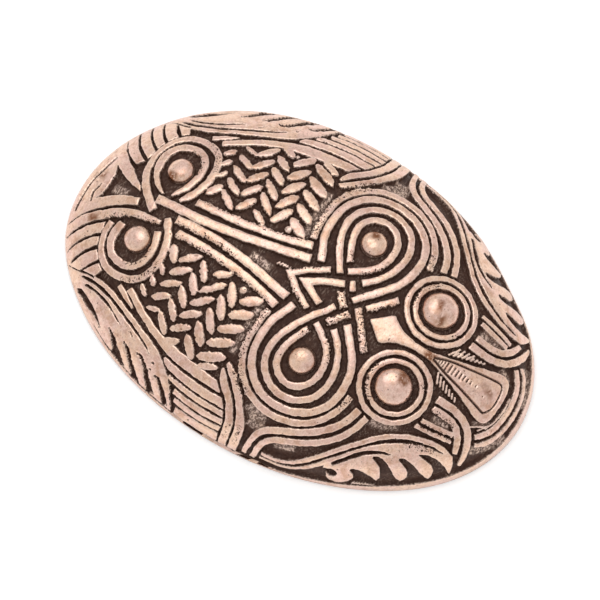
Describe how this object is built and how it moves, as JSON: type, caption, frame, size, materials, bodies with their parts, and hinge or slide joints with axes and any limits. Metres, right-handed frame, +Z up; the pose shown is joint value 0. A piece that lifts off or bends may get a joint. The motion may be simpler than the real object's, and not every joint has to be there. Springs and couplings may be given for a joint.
{
  "type": "tortoise brooch",
  "caption": "Oval domed cast bronze brooch with raised interlace, braid panels, ringed bosses and a plain lip, hollow underneath with a hinged fastening pin.",
  "frame": {"origin": "middle of the oval rim, on the plane that the rim stands on", "axes": "+X along the brooch towards the end with the large bosses, +Y across it, +Z up through the crown"},
  "size_m": [0.1038, 0.0708, 0.0198],
  "materials": {
    "cast_bronze": "cast bronze with rubbed pinkish copper tops and a near-black brown patina in the hollows",
    "pin_bronze": "plain drawn bronze, dulled brown"
  },
  "bodies": {
    "root": {"shell": "cast_bronze", "pin": "pin_bronze"}
  },
  "joints": []
}
